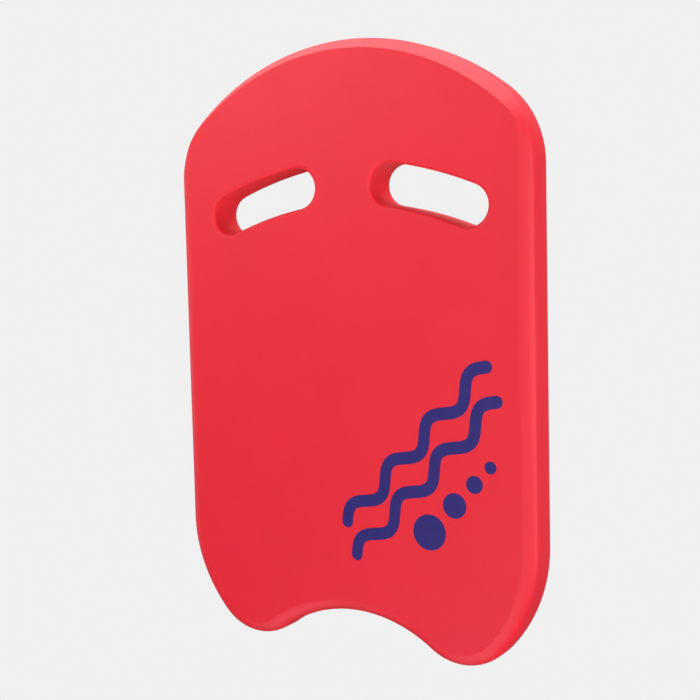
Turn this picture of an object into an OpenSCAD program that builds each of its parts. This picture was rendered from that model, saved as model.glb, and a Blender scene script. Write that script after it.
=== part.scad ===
// Swimming kickboard: one flat slab of closed-cell foam with a rounded nose,
// two finger slots and a two-lobed tail, printed with two ripples and a row of
// bubbles.
// It lies on its back face. +X is across the board, +Y points to the nose and
// +Z is the thickness. The origin is the middle of the board, on the back face.

/* [Board] */
// Length from the tail lobes to the nose
board_l = 450; // [375:1:540]
// Width across the straight sides
board_w = 296; // [246:1:356]
// Thickness of the foam
board_t = 32; // [26:1:45]
// Radius of the face's rounded edge along the sides and the tail
edge_r = 11; // [6:0.5:13.5]
// Radius of the back's rounded edge, all the way round
back_r = 8; // [3:0.5:12]

/* [Nose] */
// Radius of the nose arc
nose_r = 198; // [165:1:240]
// Radius of each shoulder between the nose arc and a side
shoulder_r = 68; // [30:1:80]
// Width of the flat bevel around the nose, seen from the face
bevel_w = 8; // [3:0.5:12]
// Depth of that bevel, down the thickness
bevel_d = 11; // [3:0.5:13]

/* [Tail] */
// Radius of each corner between a side and a tail lobe
corner_r = 112; // [80:1:130]
// Radius of the tip of each tail lobe
lobe_r = 42; // [30:1:55]
// Distance from the side to the tip of a tail lobe
lobe_side = 60; // [50:1:75]
// Depth of the hollow between the two lobes, up from their tips
bay_d = 28.5; // [15:0.5:34]

/* [Finger slots] */
// Length of each slot, end to end
slot_l = 94; // [78:1:114]
// Height of each slot
slot_w = 30.5; // [24:0.5:38]
// Middle of a slot, out from the centre line, as a share of half the width
slot_share = 0.473; // [0.42:0.001:0.54]
// Distance from the nose to the middle of a slot
slot_nose = 113; // [90:1:140]
// Angle by which the outer end of each slot drops
slot_tilt = 15.5; // [0:0.5:25]
// Radius of the slot's gently bowed centre line
slot_bow_r = 300; // [200:10:800]
// Radius of the softened rims of a slot
slot_rim_r = 2.5; // [1:0.5:4]

/* [Printed mark] */
// Length of a ripple between the middles of its round ends
ripple_l = 164; // [80:1:190]
// Width of the ripple's stroke
ripple_w = 9; // [4:0.5:12]
// Height of the ripple's swing to each side
ripple_swing = 6; // [0:0.5:9]
// Number of full waves along a ripple
ripple_waves = 3.5; // [1:0.5:6]
// Distance between the two ripples
ripple_pitch = 22; // [16:1:30]
// How far the lower ripple lies back along the mark
ripple_back = 12; // [0:1:24]
// Diameter of the largest bubble
bubble_d = 26; // [12:1:34]
// Size of each bubble as a share of the one before
bubble_shrink = 0.7; // [0.5:0.05:0.9]
// Gap between two bubbles
bubble_gap = 7; // [3:1:14]
// Middle of the largest bubble, back along the mark from its middle
bubble_back = 36; // [0:1:60]
// Middle of the bubbles, below the second ripple
bubble_drop = 28; // [20:1:40]
// Slope of the mark across the board
mark_angle = 46; // [0:1:90]
// Middle of the first ripple, from the side
mark_side = 92; // [80:1:150]
// Middle of the first ripple, from the lobe tips
mark_tail = 157; // [100:1:220]
// Thickness of the ink film
ink_t = 0.12; // [0.05:0.01:0.3]

/* [Hidden] */
foam_red = "#e8323f";
ink_blue = "#393274";
half_w = board_w / 2;
nose_tip_y = board_l / 2;
tail_y = -board_l / 2;
// centres and end angles of the arcs, each tangent to its neighbours
nose_y = nose_tip_y - nose_r;
shoulder_x = half_w - shoulder_r;
shoulder_y = nose_y + sqrt((nose_r - shoulder_r)^2 - shoulder_x^2);
nose_end = atan2(shoulder_y - nose_y, shoulder_x);
lobe_x = half_w - lobe_side;
lobe_y = tail_y + lobe_r;
bay_r = (lobe_x^2 + bay_d^2) / (2 * bay_d) - lobe_r;
bay_y = tail_y + bay_d - bay_r;
corner_x = half_w - corner_r;
corner_y = lobe_y + sqrt((corner_r - lobe_r)^2 - (lobe_x - corner_x)^2);
corner_end = atan2(lobe_y - corner_y, lobe_x - corner_x);
lobe_end = atan2(bay_y - lobe_y, -lobe_x);
bay_start = lobe_end + 180;
slot_x = half_w * slot_share;
// numbers of steps along each arc of one half
nose_n = 22;
shoulder_n = 14;
side_n = 8;
corner_n = 16;
lobe_n = 14;
bay_n = 12;
edge_n = 6;
slot_n = 16;
rim_n = 4;
ripple_n = 84;
cap_n = 12;
bubble_n = 4;
bubble_fn = 64;
cut = 1;

// A row of the outline is [x, y, direction of the outward normal].
function arc_rows(cx, cy, r, from, to, n, hollow = 0) = [
    for (i = [0:n - 1])
        let (a = from + (to - from) * i / n)
        [cx + r * cos(a), cy + r * sin(a), a + hollow]
];

// Right half of the outline, from the nose to the middle of the hollow.
half_rows = concat(
    arc_rows(0, nose_y, nose_r, 90, nose_end, nose_n),
    arc_rows(shoulder_x, shoulder_y, shoulder_r, nose_end, 0, shoulder_n),
    [
        for (i = [0:side_n - 1])
            [half_w, shoulder_y + (corner_y - shoulder_y) * i / side_n, 0]
    ],
    arc_rows(corner_x, corner_y, corner_r, 0, corner_end, corner_n),
    arc_rows(lobe_x, lobe_y, lobe_r, corner_end, lobe_end, lobe_n),
    arc_rows(0, bay_y, bay_r, bay_start, 90, bay_n, 180),
    [[0, tail_y + bay_d, 270]]
);

// The whole outline: the half, then its mirror image back to the nose.
outline = concat(
    half_rows,
    [
        for (i = [len(half_rows) - 2:-1:1])
            [-half_rows[i][0], half_rows[i][1], 180 - half_rows[i][2]]
    ]
);

// How far an edge lies inside the outline at a depth below the nearer face.
function rounded_in(d, r) = d >= r ? 0 : r - sqrt(r^2 - (r - d)^2);
function bevel_in(d) = d >= bevel_d ? 0 : bevel_w * (1 - d / bevel_d);

// Depths of the rings of an edge: even steps of angle round its radius.
function ring_depths(r, n) = [for (i = [0:n]) r * (1 - cos(90 * i / n))];

// One closed ring of the board's surface: the outline moved in by k, and
// above the shoulders by nose_k, but never past the sides' own edge.
function board_ring(z, k, nose_k) = [
    for (row = outline)
        let (
            m = row[1] > shoulder_y ? nose_k : k,
            x = row[0] - m * cos(row[2]),
            side = half_w - k
        )
        [max(-side, min(side, x)), row[1] - m * sin(row[2]), z]
];

// A solid from closed rings of equal length, listed from the bottom up,
// each running clockwise when seen from above.
module ring_solid(rings) {
    n = len(rings[0]);
    m = len(rings);
    points = [for (ring = rings) each ring];
    walls = [
        for (j = [0:m - 2], i = [0:n - 1])
            let (k = (i + 1) % n)
            [j * n + i, (j + 1) * n + i, (j + 1) * n + k, j * n + k]
    ];
    base = [for (i = [n - 1:-1:0]) i];
    top = [for (i = [0:n - 1]) (m - 1) * n + i];
    polyhedron(points, concat([base], walls, [top]), convexity = 6);
}

// A slot's outline about its own middle, clockwise, grown by g all round.
function slot_rows(g) =
    let (
        r = slot_w / 2,
        a = asin((slot_l / 2 - r) / slot_bow_r),
        end = [slot_bow_r * sin(a), slot_bow_r * (cos(a) - 1)]
    )
    concat(
        [
            for (i = [0:slot_n - 1])
                let (t = 90 + a - 2 * a * i / slot_n, q = slot_bow_r + r + g)
                [q * cos(t), q * sin(t) - slot_bow_r]
        ],
        [
            for (i = [0:slot_n - 1])
                let (t = 90 - a - 180 * i / slot_n)
                [end[0] + (r + g) * cos(t), end[1] + (r + g) * sin(t)]
        ],
        [
            for (i = [0:slot_n - 1])
                let (t = 90 - a + 2 * a * i / slot_n, q = slot_bow_r - r - g)
                [q * cos(t), q * sin(t) - slot_bow_r]
        ],
        [
            for (i = [0:slot_n - 1])
                let (t = 270 + a - 180 * i / slot_n)
                [-end[0] + (r + g) * cos(t), end[1] + (r + g) * sin(t)]
        ]
    );

// The cutter of one slot, flared by the rim radius at both faces.
module slot_cutter() {
    depths = ring_depths(slot_rim_r, rim_n);
    low = [for (d = depths) [d, rounded_in(d, slot_rim_r)]];
    high = [
        for (i = [rim_n:-1:0])
            [board_t - depths[i], rounded_in(depths[i], slot_rim_r)]
    ];
    levels = concat([[-cut, slot_rim_r]], low, high, [[board_t + cut, slot_rim_r]]);
    ring_solid([
        for (level = levels)
            [for (p = slot_rows(level[1])) [p[0], p[1], level[0]]]
    ]);
}

// One piece of closed-cell foam: shaped slab less the two finger slots.
module foam_board() {
    lower = [
        for (d = ring_depths(back_r, edge_n))
            board_ring(d, rounded_in(d, back_r), rounded_in(d, back_r))
    ];
    upper = [
        for (i = [edge_n:-1:0])
            let (d = ring_depths(max(edge_r, bevel_d), edge_n)[i])
            board_ring(board_t - d, rounded_in(d, edge_r), bevel_in(d))
    ];
    color(foam_red)
        difference() {
            ring_solid(concat(lower, upper));
            for (side = [0, 1])
                mirror([side, 0, 0])
                    translate([slot_x, nose_tip_y - slot_nose, 0])
                        rotate(-slot_tilt)
                            slot_cutter();
        }
}

// A stroke of constant width along a sine wave, with round ends.
module ripple_shape() {
    turn = 360 * ripple_waves;
    function rise(u) = ripple_swing * sin(turn * u);
    function slope(u) = atan(ripple_swing * cos(turn * u) * turn * PI / 180 / ripple_l);
    function side_point(u, k) =
        let (a = slope(u))
        [ripple_l * (u - 0.5) - k * sin(a), rise(u) + k * cos(a)];
    function end_cap(u, from) = [
        for (i = [1:cap_n - 1])
            let (a = slope(u) + from - 180 * i / cap_n)
            [
                ripple_l * (u - 0.5) + ripple_w / 2 * cos(a),
                rise(u) + ripple_w / 2 * sin(a)
            ]
    ];
    steps = [for (i = [0:ripple_n]) i / ripple_n];
    polygon(concat(
        [for (u = steps) side_point(u, ripple_w / 2)],
        end_cap(1, 90),
        [for (i = [ripple_n:-1:0]) side_point(steps[i], -ripple_w / 2)],
        end_cap(0, 270)
    ));
}

// A film of ink on the face, in the mark's own slanted axes.
module ink_film() {
    color(ink_blue)
        translate([half_w - mark_side, tail_y + mark_tail, board_t])
            rotate(mark_angle)
                linear_extrude(ink_t)
                    children();
}

// The upper ripple, printed ink.
module print_ripple_1() {
    ink_film()
        ripple_shape();
}

// The lower ripple, printed ink.
module print_ripple_2() {
    ink_film()
        translate([-ripple_back, -ripple_pitch])
            ripple_shape();
}

// A row of round bubbles of falling size, printed ink: separate discs.
function bubble_at(i) =
    i == 0 ? -bubble_back
    : bubble_at(i - 1) + (bubble_size(i - 1) + bubble_size(i)) / 2 + bubble_gap;
function bubble_size(i) = bubble_d * pow(bubble_shrink, i);
module print_bubbles() {
    ink_film()
        for (i = [0:bubble_n - 1])
            translate([bubble_at(i), -ripple_pitch - bubble_drop])
                circle(d = bubble_size(i), $fn = bubble_fn);
}

foam_board();
print_ripple_1();
print_ripple_2();
print_bubbles();
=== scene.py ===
import bmesh
import bpy
import numpy as np
from mathutils import Matrix, Vector
from mathutils.geometry import delaunay_2d_cdt


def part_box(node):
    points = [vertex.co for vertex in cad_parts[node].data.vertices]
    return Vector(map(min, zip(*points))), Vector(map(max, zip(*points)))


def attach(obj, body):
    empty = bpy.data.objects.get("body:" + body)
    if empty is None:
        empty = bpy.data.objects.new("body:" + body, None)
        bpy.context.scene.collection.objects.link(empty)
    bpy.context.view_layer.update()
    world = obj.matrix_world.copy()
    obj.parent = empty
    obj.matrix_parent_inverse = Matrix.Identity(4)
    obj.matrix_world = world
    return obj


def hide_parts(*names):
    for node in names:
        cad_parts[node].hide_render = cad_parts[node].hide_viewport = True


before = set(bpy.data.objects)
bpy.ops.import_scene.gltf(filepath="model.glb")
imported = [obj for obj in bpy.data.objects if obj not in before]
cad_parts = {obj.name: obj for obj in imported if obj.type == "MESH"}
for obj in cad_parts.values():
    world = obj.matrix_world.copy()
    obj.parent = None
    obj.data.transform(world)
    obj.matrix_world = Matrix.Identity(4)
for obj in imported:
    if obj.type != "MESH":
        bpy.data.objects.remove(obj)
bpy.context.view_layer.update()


# ---------------------------------------------------------------------------
# The foam board. One slab of closed-cell EVA foam, die-cut to its outline.
# Its edge is routed: a flat bevel round the nose, a convex one along the
# sides, and a plain rounding round the tail and all along the back.
# ---------------------------------------------------------------------------
MM = 0.001
board_low, board_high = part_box("foam_board")
half_width = board_high.x
nose_tip, tail_tip = board_high.y, board_low.y
face_z, back_z = board_high.z, board_low.z

nose_radius = 198 * MM
shoulder_radius = 68 * MM
corner_radius = 112 * MM
lobe_radius = 42 * MM
lobe_from_side = 60 * MM
bay_depth = 28.5 * MM
back_rounding = 8 * MM

# centres of the outline's arcs, each tangent to its neighbours
nose_y = nose_tip - nose_radius
shoulder_x = half_width - shoulder_radius
shoulder_y = nose_y + np.sqrt((nose_radius - shoulder_radius) ** 2 - shoulder_x**2)
lobe_x = half_width - lobe_from_side
lobe_y = tail_tip + lobe_radius
bay_radius = (lobe_x**2 + bay_depth**2) / (2 * bay_depth) - lobe_radius
bay_y = tail_tip + bay_depth - bay_radius
corner_x = half_width - corner_radius
corner_y = lobe_y + np.sqrt((corner_radius - lobe_radius) ** 2 - (lobe_x - corner_x) ** 2)
nose_end = np.arctan2(shoulder_y - nose_y, shoulder_x)
corner_end = np.arctan2(lobe_y - corner_y, lobe_x - corner_x)
lobe_end = np.arctan2(bay_y - lobe_y, -lobe_x)


def arc_columns(x, y, radius, start, end, count, hollow=False):
    """Columns of the outline along one arc, as rows of centre x, centre y, radius,
    direction of the outward side seen from the centre, and +1 where the foam is
    inside the arc or -1 where it is outside. The end point is left out."""
    angle = start + (end - start) * np.arange(count) / count
    sign = -1.0 if hollow else 1.0
    return np.stack(
        [np.full(count, x), np.full(count, y), np.full(count, radius), angle,
         np.full(count, sign)], axis=1)


def side_columns(count):
    """Columns down the straight side: arcs of one radius with centres in a line."""
    y = shoulder_y + (corner_y - shoulder_y) * np.arange(count) / count
    return np.stack(
        [np.full(count, shoulder_x), y, np.full(count, shoulder_radius),
         np.zeros(count), np.ones(count)], axis=1)


steps = {"nose": 64, "shoulder": 60, "side": 70, "corner": 44, "lobe": 44, "bay": 34}
columns = np.concatenate([
    arc_columns(0, nose_y, nose_radius, np.pi / 2, nose_end, steps["nose"]),
    arc_columns(shoulder_x, shoulder_y, shoulder_radius, nose_end, 0, steps["shoulder"]),
    side_columns(steps["side"]),
    arc_columns(corner_x, corner_y, corner_radius, 0, corner_end, steps["corner"]),
    arc_columns(lobe_x, lobe_y, lobe_radius, corner_end, lobe_end, steps["lobe"]),
    arc_columns(0, bay_y, bay_radius, lobe_end + np.pi, np.pi / 2, steps["bay"], True),
    np.array([[0, bay_y, bay_radius, np.pi / 2, -1.0]]),
])


def smooth_step(x):
    """Rises from 0 to 1 with level ends: 3 x squared less 2 x cubed, held outside 0..1."""
    x = np.clip(x, 0, 1)
    return x * x * (3 - 2 * x)


def outline_ring(inset, side_limit=None):
    """The closed outline moved in by inset, one value a column: each point lies at
    its arc's centre plus the radius less the inset, along the column's direction.
    With side_limit, also one value a column, x is at most half the width less that."""
    x0, y0, radius, angle, sign = columns.T
    reach = radius - sign * inset
    x, y = x0 + reach * np.cos(angle), y0 + reach * np.sin(angle)
    if side_limit is not None:
        x = np.minimum(x, half_width - side_limit)
    x[0] = x[-1] = 0.0
    return np.concatenate([np.stack([x, y], 1), np.stack([-x, y], 1)[-2:0:-1]])


# Along the shoulder, from 0 where it leaves the nose to 1 at the side, the nose's bevel
# first narrows and then turns into the side's edge.
bevel_narrowing = 0.37
narrow_by = 0.55
side_from = 0.42
shoulder_part = np.clip((nose_end - columns[:, 3]) / nose_end, 0, 1)
past_shoulder = np.arange(len(columns)) >= steps["nose"] + steps["shoulder"]
shoulder_part[past_shoulder] = 1.0
side_share = smooth_step((shoulder_part - side_from) / (1 - side_from))
bevel_share = 1 - bevel_narrowing * smooth_step(shoulder_part / narrow_by)
# Past the side the routed edge turns into the tail's plain rounding.
side_finish = steps["nose"] + steps["shoulder"] + steps["side"]
tail_share = smooth_step((np.arange(len(columns)) - side_finish) / steps["corner"])


# a narrow flat strip beside each crease, which keeps the face's shading flat up to it
crease_lead = 0.35 * MM


def edge_profile(foot, crest, base, bow, soft_foot, soft_crest, count=9):
    """A routed edge in section, as (inset, depth) points from the flat face down to
    the wall: from foot to crest bowed out by bow (a parabola on the chord), then from
    crest to base along a quarter ellipse, with both corners turned by quadratic curves."""
    foot, crest, base = (np.array(p, float) for p in (foot, crest, base))
    chord = crest - foot
    length = np.hypot(*chord)
    out = np.array([-chord[1], chord[0]]) / length
    t = np.linspace(soft_foot / length, 1 - soft_crest / length, count)[:, None]
    slope = foot + chord * t + out * bow * 4 * t * (1 - t)
    lead = foot + [soft_foot, 0.0]
    turn = np.linspace(0, np.pi / 2, 2 * count)[:, None]
    wall = np.concatenate([
        crest[:1] * (1 - np.sin(turn)) + base[:1] * np.sin(turn),
        base[1:] + (crest[1:] - base[1:]) * np.cos(turn)], axis=1)
    far = np.hypot(*(wall - crest).T) > soft_crest
    wall = wall[far]

    def corner(a, b, c):
        """A quadratic curve from a to c that leaves and arrives in line with b."""
        u = np.linspace(0, 1, 6)[:, None]
        return a * (1 - u) ** 2 + 2 * b * u * (1 - u) + c * u**2

    return np.concatenate([
        [lead + [crease_lead, 0.0]], corner(lead, foot, slope[0]), slope[1:-1],
        corner(slope[-1], crest, wall[0]), wall[1:]])


def round_profile(foot, start):
    """A rounding in section, as (inset, depth) points: the part of a circle from the
    angle start to a quarter turn, sized to reach foot in from the wall."""
    turn = np.linspace(start, np.pi / 2, 24)
    radius = foot / (1 - np.sin(start))
    arc = np.stack([radius * (1 - np.sin(turn)),
                    radius * (np.cos(start) - np.cos(turn))], 1)
    return np.concatenate([[[foot + crease_lead, 0.0]], arc])


def even_profile(points, count, radian_worth=4 * MM):
    """The same section with count points, closer where it turns: steps are even in
    length plus radian_worth for each radian turned."""
    step = np.diff(points, axis=0)
    length = np.hypot(*step.T)
    heading = np.unwrap(np.arctan2(step[:, 1], step[:, 0]))
    turned = np.abs(np.diff(heading, append=heading[-1]))
    weight = np.concatenate([[0], np.cumsum(length + radian_worth * turned)])
    at = np.linspace(0, weight[-1], count)
    return np.stack([np.interp(at, weight, points[:, k]) for k in (0, 1)], 1)


profile_steps = 40
nose_section = even_profile(edge_profile(
    (8 * MM, 0), (0.25 * MM, 11 * MM), (0, 15 * MM), 0.0, 0.35 * MM, 0.9 * MM),
    profile_steps)
side_section = even_profile(edge_profile(
    (10.6 * MM, 0), (2.0 * MM, 3.5 * MM), (0, 14 * MM), 0.75 * MM, 0.4 * MM, 1.3 * MM),
    profile_steps)
tail_section = even_profile(round_profile(10 * MM, np.radians(8)), profile_steps)

nose_inset, nose_depth = nose_section.T
side_inset, side_depth = side_section.T
tail_inset, tail_depth = tail_section.T


def edge_ring(j):
    """Ring j of the face's edge, as x, y and z: the nose's, the side's and the tail's
    sections mixed by each column's shares."""
    nose_share, plain_share = (1 - side_share) * bevel_share, side_share * (1 - tail_share)
    inset = nose_share * nose_inset[j] + plain_share * side_inset[j] + tail_share * tail_inset[j]
    depth = nose_share * nose_depth[j] + plain_share * side_depth[j] + tail_share * tail_depth[j]
    limit = np.where(past_shoulder, 0.0, side_inset[j])
    xy = outline_ring(inset, limit)
    z = face_z - np.concatenate([depth, depth[-2:0:-1]])
    return np.column_stack([xy, z])


def back_ring(angle):
    """Ring of the back's rounding, a quarter circle: angle 0 is on the wall and a
    quarter turn is on the back face."""
    xy = outline_ring(np.full(len(columns), back_rounding * (1 - np.cos(angle))))
    return np.column_stack(
        [xy, np.full(len(xy), back_z + back_rounding * (1 - np.sin(angle)))])


def grid_faces(rows, width):
    """Quads of a grid of closed rings, each ring width points long."""
    i, j = np.meshgrid(np.arange(width), np.arange(rows - 1))
    k = (i + 1) % width
    quads = np.stack([j * width + i, j * width + k, (j + 1) * width + k,
                      (j + 1) * width + i], -1)
    return quads.reshape(-1, 4)


back_steps = 12
down_the_wall = (0.25, 0.5, 0.75)
edge_rings = [edge_ring(j) for j in range(profile_steps)]
wall_top = edge_rings[-1]
back_rings = [back_ring(a) for a in np.linspace(0, np.pi / 2, back_steps)]
wall_rings = [wall_top * (1 - t) + back_rings[0] * t for t in down_the_wall]
back_lead = np.column_stack([
    outline_ring(np.full(len(columns), back_rounding + crease_lead)),
    np.full(len(wall_top), back_z)])
shell = np.stack(edge_rings + wall_rings + back_rings + [back_lead])

# The finger slots: gently bowed, with round ends and softened rims.
slot_length = 94 * MM
slot_height = 30.5 * MM
slot_out = 0.473 * half_width
slot_from_nose = 113 * MM
slot_tilt = np.radians(15.5)
slot_bow = 300 * MM
# the rim is a small rounding along the slot and a larger one at its ends
rim_side, rim_side_depth = 1.8 * MM, 2.2 * MM
rim_end, rim_end_depth = 3.1 * MM, 3.0 * MM
rim_start = np.radians(35)
rim_steps = 10

# how far each of the ring's points belongs to a slot end: 1 at the middle of an end
slot_steps = 44
along = np.arange(slot_steps) / slot_steps
end_share = np.tile(np.concatenate([0 * along, np.sin(np.pi * along)]), 2)


def slot_ring(grow, side):
    """One slot's outline in the board's plane: a line at an even distance, half the
    height plus grow, from an arc of radius slot_bow. grow has one value a point, and
    side is +1 right or -1 left."""
    r = slot_height / 2
    reach = np.arcsin((slot_length / 2 - r) / slot_bow)
    upper, right, lower, left = grow.reshape(4, slot_steps)
    up = np.pi / 2

    def bow(radius, start, end):
        """A long side: an arc about the point slot_bow below the slot's middle."""
        a = start + (end - start) * along
        return np.stack([radius * np.cos(a), radius * np.sin(a) - slot_bow], 1)

    def cap(sign, start, radius):
        """An end: a half turn about the end of the slot's middle line."""
        a = start - np.pi * along
        x = sign * slot_bow * np.sin(reach) + radius * np.cos(a)
        y = slot_bow * (np.cos(reach) - 1) + radius * np.sin(a)
        return np.stack([x, y], 1)

    ring = np.concatenate([
        bow(slot_bow + r + upper, up + reach, up - reach), cap(1, up - reach, r + right),
        bow(slot_bow - r - lower, up - reach, up + reach), cap(-1, -up + reach, r + left)])
    c, s = np.cos(slot_tilt), np.sin(slot_tilt)
    x = ring[:, 0] * c + ring[:, 1] * s + slot_out
    y = -ring[:, 0] * s + ring[:, 1] * c + nose_tip - slot_from_nose
    return np.stack([side * x, y], 1)


def slot_shell(side):
    """Rings down one slot: just outside the rim on the face, round the rim by part of
    an ellipse, larger at the slot's ends, down the wall, and round the back's rim."""
    turn = np.linspace(rim_start, np.pi / 2, rim_steps)
    rim_in = (1 - np.sin(turn)) / (1 - np.sin(rim_start))
    rim_down = 1 - np.cos(turn) / np.cos(rim_start)
    width = rim_side + (rim_end - rim_side) * end_share
    depth = rim_side_depth + (rim_end_depth - rim_side_depth) * end_share
    rings = [(width + crease_lead, 0 * depth)]
    rings += [(width * t, depth * d) for t, d in zip(rim_in, rim_down)]
    wall = face_z - back_z - 2 * depth
    middle = [(0 * width, depth + wall * t) for t in down_the_wall]
    far = [(w, face_z - back_z - d) for w, d in rings[::-1]]
    return np.stack([np.column_stack([slot_ring(w, side), face_z - d])
                     for w, d in rings + middle + far])


slots = [slot_shell(1), slot_shell(-1)]


def inside(points, ring):
    """Which points lie inside a closed ring: those with an odd number of the ring's
    edges straight to their right."""
    a, b = ring, np.roll(ring, -1, axis=0)
    px, py = points[:, :1], points[:, 1:]
    spans = (a[:, 1] > py) != (b[:, 1] > py)
    rise = np.where(b[:, 1] == a[:, 1], 1.0, b[:, 1] - a[:, 1])
    cross = a[:, 0] + (py - a[:, 1]) * (b[:, 0] - a[:, 0]) / rise
    return (spans & (px < cross)).sum(1) % 2 == 1


def flat_face(outer, holes, height):
    """The flat foam between an outer ring and the slots' rings, filled with triangles
    on a lattice of even triangles that keeps clear of the rings."""
    pitch = 6 * MM
    clearance = 0.55 * pitch
    rows = np.arange(tail_tip, nose_tip, pitch * np.sqrt(3) / 2)
    across = np.arange(-half_width, half_width, pitch)
    x, y = np.meshgrid(across, rows)
    x = x + (np.arange(len(rows)) % 2)[:, None] * pitch / 2
    lattice = np.stack([x.ravel(), y.ravel()], 1)
    rings = np.concatenate([outer, *holes])
    gap = np.hypot(*(lattice[:, None] - rings[None]).transpose(2, 0, 1)).min(1)
    keep = inside(lattice, outer) & (gap > clearance)
    for hole in holes:
        keep &= ~inside(lattice, hole)
    points = np.concatenate([rings, lattice[keep]])
    edges, first = [], 0
    for ring in (outer, *holes):
        n = np.arange(len(ring))
        edges.append(np.stack([n, (n + 1) % len(ring)], 1) + first)
        first += len(ring)
    found = delaunay_2d_cdt(
        points.tolist(), np.concatenate(edges).tolist(), [], 0, 1e-9)
    flat = np.array(found[0])
    triangles = np.array(found[2])
    middle = flat[triangles].mean(1)
    keep = inside(middle, outer)
    for hole in holes:
        keep &= ~inside(middle, hole)
    return np.column_stack([flat, np.full(len(flat), height)]), triangles[keep]


def closed_mesh(name, parts):
    """One mesh from (points, faces) parts whose borders coincide: the borders are
    merged, and the faces are turned to point outwards."""
    mesh = bpy.data.meshes.new(name)
    points, faces, first = [], [], 0
    for part_points, part_faces in parts:
        points.append(part_points)
        faces += (part_faces + first).tolist()
        first += len(part_points)
    mesh.from_pydata(np.concatenate(points).tolist(), [], faces)
    work = bmesh.new()
    work.from_mesh(mesh)
    bmesh.ops.remove_doubles(work, verts=work.verts, dist=2e-6)
    bmesh.ops.recalc_face_normals(work, faces=work.faces)
    work.to_mesh(mesh)
    work.free()
    mesh.shade_smooth()
    piece = bpy.data.objects.new(name, mesh)
    bpy.context.scene.collection.objects.link(piece)
    return piece


def shell_part(rings):
    """A stack of closed rings as points and the quads between them."""
    return rings.reshape(-1, 3), grid_faces(rings.shape[0], rings.shape[1])


board = closed_mesh("board_foam", [
    shell_part(shell), *[shell_part(s) for s in slots],
    flat_face(shell[0, :, :2], [s[0, :, :2] for s in slots], face_z),
    flat_face(shell[-1, :, :2], [s[-1, :, :2] for s in slots], back_z),
])

# Cut foam, 1, is the routed edges and the slot walls. Skin, 0, is the two flat faces.
skin_depth = 0.4 * MM
spots = np.empty(len(board.data.vertices) * 3, np.float32)
board.data.vertices.foreach_get("co", spots)
spots = spots.reshape(-1, 3)
from_face = np.minimum(face_z - spots[:, 2], spots[:, 2] - back_z)
cut_share = np.clip(from_face / skin_depth, 0, 1)
cut = board.data.attributes.new("cut_foam", "FLOAT", "POINT")
cut.data.foreach_set("value", cut_share.astype(np.float32))
# Slot wall, 1, is the cut foam that is well inside the outline, where painted light is added.
edge_band = 2 * back_rounding
slot_zone = inside(spots[:, :2], outline_ring(np.full(len(columns), edge_band)))
in_slot = board.data.attributes.new("slot_wall", "FLOAT", "POINT")
in_slot.data.foreach_set("value", (cut_share * slot_zone).astype(np.float32))


def linear(code):
    """A linear colour from an sRGB hex code."""
    part = np.array([int(code[i:i + 2], 16) for i in (1, 3, 5)]) / 255
    low, high = part / 12.92, ((part + 0.055) / 1.055) ** 2.4
    return (*np.where(part <= 0.04045, low, high).tolist(), 1.0)


def add(tree, kind, settings=None, **links):
    """Adds a node: settings go to its own properties or, if it has none of that name,
    to its input socket. Links join its inputs to other nodes' sockets: Base_Color is the
    input Base Color, and _0 is the first input."""
    made = tree.nodes.new(kind)
    for name, value in (settings or {}).items():
        if hasattr(made, name):
            setattr(made, name, value)
        else:
            made.inputs[name].default_value = value
    for name, socket in links.items():
        key = int(name[1:]) if name[1:].isdigit() else name.replace("_", " ")
        tree.links.new(socket, made.inputs[key])
    return made


def new_material(name):
    """An empty node material, and its tree."""
    made = bpy.data.materials.new(name)
    made.use_nodes = True
    made.node_tree.nodes.clear()
    return made, made.node_tree


# Closed-cell EVA foam in red, split from a block. Its colour is deep and even, with
# faint cloudy patches. The face is matt with a broad soft sheen, and the cut edges are
# a little rougher and show their cells.
eva, tree = new_material("eva_foam_red")
coords = add(tree, "ShaderNodeTexCoord").outputs["Object"]
cut_foam = add(tree, "ShaderNodeAttribute", {"attribute_name": "cut_foam"}).outputs["Fac"]
slot_wall = add(tree, "ShaderNodeAttribute", {"attribute_name": "slot_wall"}).outputs["Fac"]
# clouds about 45 mm across
clouds = add(tree, "ShaderNodeTexNoise",
             {"Scale": 22.0, "Detail": 4.0, "Roughness": 0.55}, Vector=coords)
# grain of the skin, taken as 0.25 mm in the real foam, drawn at 0.8 mm so that it shows
grain = add(tree, "ShaderNodeTexNoise",
            {"Scale": 1250.0, "Detail": 2.0, "Roughness": 0.6}, Vector=coords)
# cells where the foam is cut, about 0.9 mm across
cells = add(tree, "ShaderNodeTexVoronoi", {"Scale": 1100.0}, Vector=coords)
# dents from packing, a few centimetres apart and very shallow
dents = add(tree, "ShaderNodeTexNoise",
            {"Scale": 60.0, "Detail": 2.0, "Roughness": 0.45}, Vector=coords)

cloud_mix = add(tree, "ShaderNodeMapRange",
                {"From Min": 0.32, "From Max": 0.68}, Value=clouds.outputs["Fac"])
# a colour mix has its two colours at inputs 6 and 7 and its result at output 2
body = add(tree, "ShaderNodeMix", {"data_type": "RGBA"}, Factor=cloud_mix.outputs[0])
body.inputs[6].default_value = linear("#f00829")
body.inputs[7].default_value = linear("#f5092c")
speck = add(tree, "ShaderNodeMapRange",
            {"From Min": 0.3, "From Max": 0.7, "To Min": 0.955, "To Max": 1.03},
            Value=grain.outputs["Fac"])
# painted light: the slots' walls are a slightly brighter red, standing in for bounced light
slot_painted_light = add(tree, "ShaderNodeMix", {"data_type": "RGBA"}, Factor=slot_wall)
tree.links.new(body.outputs[2], slot_painted_light.inputs[6])
slot_painted_light.inputs[7].default_value = linear("#f60828")
tint = add(tree, "ShaderNodeHueSaturation", Value=speck.outputs[0], Color=slot_painted_light.outputs[2])

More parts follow.
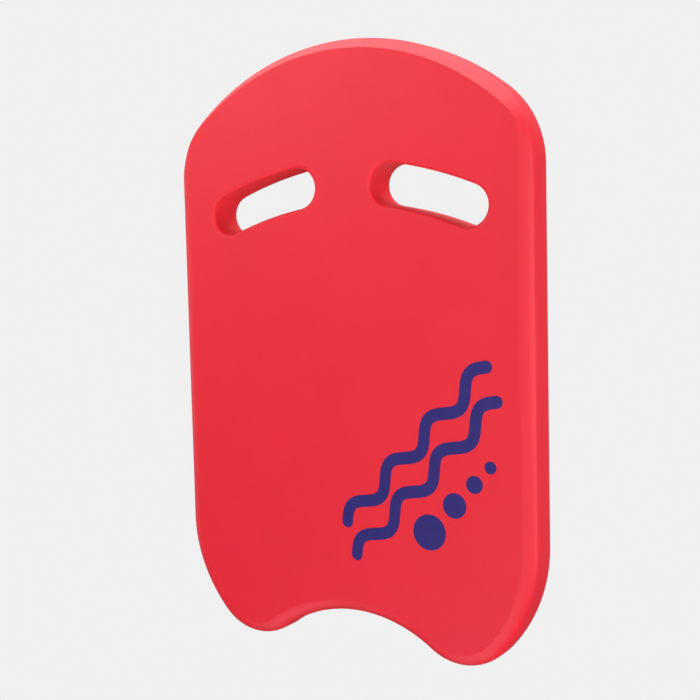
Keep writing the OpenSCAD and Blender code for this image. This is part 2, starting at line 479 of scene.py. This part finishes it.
rough_skin = add(tree, "ShaderNodeMapRange",
                 {"From Min": 0.3, "From Max": 0.7, "To Min": 0.50, "To Max": 0.60},
                 Value=grain.outputs["Fac"])
cut_roughness = 0.04
rough = add(tree, "ShaderNodeMath", {"operation": "MULTIPLY_ADD", "use_clamp": True},
            _0=cut_foam, _2=rough_skin.outputs[0])
rough.inputs[1].default_value = cut_roughness

cell_height = add(tree, "ShaderNodeMath", {"operation": "MULTIPLY"},
                  _0=cells.outputs["Distance"], _1=cut_foam)
dent_bump = add(tree, "ShaderNodeBump", {"Strength": 0.30, "Distance": 0.6 * MM},
                Height=dents.outputs["Fac"])
grain_bump = add(tree, "ShaderNodeBump", {"Strength": 0.22, "Distance": 0.12 * MM},
                 Height=grain.outputs["Fac"], Normal=dent_bump.outputs[0])
cell_bump = add(tree, "ShaderNodeBump", {"Strength": 0.30, "Distance": 0.12 * MM},
                Height=cell_height.outputs[0], Normal=grain_bump.outputs[0])
skin = add(tree, "ShaderNodeBsdfPrincipled",
           {"IOR": 1.6, "Sheen Weight": 0.06, "Sheen Roughness": 0.5},
           Base_Color=tint.outputs[0], Roughness=rough.outputs[0],
           Normal=cell_bump.outputs[0])
add(tree, "ShaderNodeOutputMaterial", Surface=skin.outputs[0])

board.data.materials.append(eva)
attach(board, "root")
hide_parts("foam_board")


# ---------------------------------------------------------------------------
# The printed mark: two ripples and a row of bubbles in one dark blue ink,
# screen-printed on the foam. The films are the frame's own nodes.
# ---------------------------------------------------------------------------

# Screen-printing ink on foam: opaque and satin, and it takes on the foam's fine grain,
# with a slightly thinner, uneven lay of colour here and there.
ink, tree = new_material("screen_print_ink_blue")
coords = add(tree, "ShaderNodeTexCoord").outputs["Object"]
# lay of the ink, in patches of about 12 mm
lay = add(tree, "ShaderNodeTexNoise",
          {"Scale": 85.0, "Detail": 3.0, "Roughness": 0.5}, Vector=coords)
# grain of the foam under it, drawn at 0.8 mm so that it shows
weave = add(tree, "ShaderNodeTexNoise",
            {"Scale": 1250.0, "Detail": 2.0, "Roughness": 0.6}, Vector=coords)
lay_mix = add(tree, "ShaderNodeMapRange",
              {"From Min": 0.3, "From Max": 0.7}, Value=lay.outputs["Fac"])
ink_body = add(tree, "ShaderNodeMix", {"data_type": "RGBA"}, Factor=lay_mix.outputs[0])
ink_body.inputs[6].default_value = linear("#281c72")
ink_body.inputs[7].default_value = linear("#2e2279")
ink_speck = add(tree, "ShaderNodeMapRange",
                {"From Min": 0.3, "From Max": 0.7, "To Min": 0.94, "To Max": 1.05},
                Value=weave.outputs["Fac"])
ink_tint = add(tree, "ShaderNodeHueSaturation", Value=ink_speck.outputs[0],
               Color=ink_body.outputs[2])
ink_rough = add(tree, "ShaderNodeMapRange",
                {"From Min": 0.3, "From Max": 0.7, "To Min": 0.44, "To Max": 0.54},
                Value=weave.outputs["Fac"])
ink_bump = add(tree, "ShaderNodeBump", {"Strength": 0.18, "Distance": 0.12 * MM},
               Height=weave.outputs["Fac"])
film = add(tree, "ShaderNodeBsdfPrincipled", {"IOR": 1.48},
           Base_Color=ink_tint.outputs[0], Roughness=ink_rough.outputs[0],
           Normal=ink_bump.outputs[0])
add(tree, "ShaderNodeOutputMaterial", Surface=film.outputs[0])

for name in ("print_ripple_1", "print_ripple_2", "print_bubbles"):
    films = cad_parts[name].data.materials
    films.clear()
    films.append(ink)


# ---------------------------------------------------------------------------
# The studio: a plain pale floor well below the board, and softboxes all round,
# the strongest past the nose and on the right.
# ---------------------------------------------------------------------------
backdrop_grey = linear("#f0f0f0")
floor_z = -0.9
floor_mesh = bpy.data.meshes.new("studio_floor")
floor_reach = 40.0
floor_mesh.from_pydata(
    [(-floor_reach, -floor_reach, floor_z), (floor_reach, -floor_reach, floor_z),
     (floor_reach, floor_reach, floor_z), (-floor_reach, floor_reach, floor_z)],
    [], [(0, 1, 2, 3)])
floor = bpy.data.objects.new("studio_floor", floor_mesh)
bpy.context.scene.collection.objects.link(floor)
# Floor lit from within, as a light table is: even, pale and without shadows. Only the
# camera sees it, so it adds no light of its own.
pale, tree = new_material("light_table_white")
glow = add(tree, "ShaderNodeEmission", {"Color": backdrop_grey, "Strength": 1.0})
add(tree, "ShaderNodeOutputMaterial", Surface=glow.outputs[0])
floor_mesh.materials.append(pale)
floor.visible_diffuse = False
floor.visible_glossy = False
floor.visible_shadow = False

room = bpy.data.worlds.new("soft_room")
bpy.context.scene.world = room
room.use_nodes = True
tree = room.node_tree
tree.nodes.clear()
seen = add(tree, "ShaderNodeBackground", {"Color": backdrop_grey, "Strength": 1.0})
lit = add(tree, "ShaderNodeBackground", {"Color": linear("#000000"), "Strength": 0.0})
path = add(tree, "ShaderNodeLightPath")
mixed = add(tree, "ShaderNodeMixShader", _0=path.outputs["Is Camera Ray"],
            _1=lit.outputs[0], _2=seen.outputs[0])
add(tree, "ShaderNodeOutputWorld", Surface=mixed.outputs[0])


def softbox(name, place, target, width, height, power):
    """A rectangular soft light at place, facing target."""
    data = bpy.data.lights.new(name, "AREA")
    data.shape = "RECTANGLE"
    data.size, data.size_y = width, height
    data.energy = power
    lamp = bpy.data.objects.new(name, data)
    lamp.location = place
    lamp.rotation_euler = (Vector(target) - lamp.location).to_track_quat("-Z", "Y").to_euler()
    lamp.visible_camera = False
    bpy.context.scene.collection.objects.link(lamp)


# name, place, what it faces, width, height (metres) and power (watts)
board_middle, board_nose = (0, 0, 0), (0, 0.1, 0)
softbox("nose_left_box", (-0.55, 1.35, -0.35), board_nose, 1.6, 0.9, 13.5)
softbox("nose_right_box", (0.5, 1.4, -0.6), board_nose, 1.0, 0.8, 9.5)
softbox("nose_middle_box", (0.3, 1.5, -0.2), board_nose, 0.6, 0.5, 4)
softbox("near_left_box", (-0.55, 0.55, 0.6), board_nose, 0.5, 0.5, 3.3)
softbox("near_right_box", (0.3, 0.55, 0.7), board_nose, 0.5, 0.5, 1.4)
softbox("over_box", (0.2, -0.1, 1.9), board_middle, 1.4, 1.4, 7)
softbox("right_front_box", (1.3, 0, 1.0), board_middle, 0.8, 1.4, 6)
softbox("right_box", (1.6, -0.1, 0.1), board_middle, 1.0, 1.4, 15)
softbox("left_box", (-1.6, 0, 0.2), board_middle, 1.0, 1.4, 5.5)
softbox("tail_box", (0, -1.6, 0.6), board_middle, 1.4, 1.0, 7)
softbox("tail_high_box", (0, -1.2, 1.2), board_middle, 1.2, 1.0, 8)
softbox("below_box", (0, 0, -0.8), board_middle, 0.65, 0.85, 1.1)


# ---------------------------------------------------------------------------
# The camera: a portrait lens above the board and to its right, looking down on it.
# ---------------------------------------------------------------------------
camera_data = bpy.data.cameras.new("camera")
camera_data.sensor_width = 36.0
camera_data.lens = 64
camera = bpy.data.objects.new("camera", camera_data)
bpy.context.scene.collection.objects.link(camera)
camera.location = (0.471, 0.076, 0.806)
aim_point = Vector((0.0033, 0.0001, 0.03))
camera_roll = np.radians(1.37)
back = (camera.location - aim_point).normalized()
right = Vector((0, 1, 0)).cross(back).normalized()
upright = Matrix((right, back.cross(right), back)).transposed()
camera.rotation_euler = (upright @ Matrix.Rotation(-camera_roll, 3, "Z")).to_euler()
bpy.context.scene.camera = camera
bpy.context.scene.view_settings.view_transform = "Standard"
